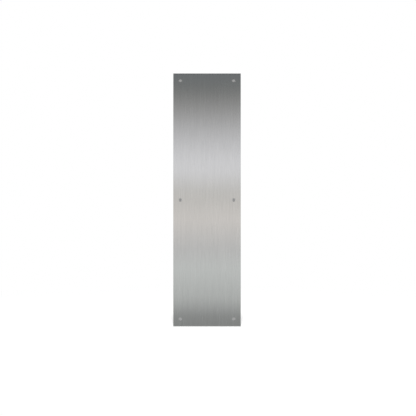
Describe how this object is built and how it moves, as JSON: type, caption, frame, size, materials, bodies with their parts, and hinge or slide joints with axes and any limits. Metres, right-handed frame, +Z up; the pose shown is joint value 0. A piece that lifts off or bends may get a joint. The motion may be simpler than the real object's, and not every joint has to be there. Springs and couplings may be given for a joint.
{
  "type": "door finger plate",
  "caption": "Flat satin steel plate screwed to a door where hands push it, with bevelled edges and countersunk screw holes.",
  "frame": {"origin": "centre of the back face, which lies on the door", "axes": "+Z up the door along the plate's length, +X across the door, +Y into the door, so the plate faces -Y"},
  "size_m": [0.1016, 0.0013, 0.381],
  "materials": {
    "satin_steel": "satin, brushed along the plate's length"
  },
  "bodies": {
    "root": {"finger_plate": "satin_steel"}
  },
  "joints": []
}
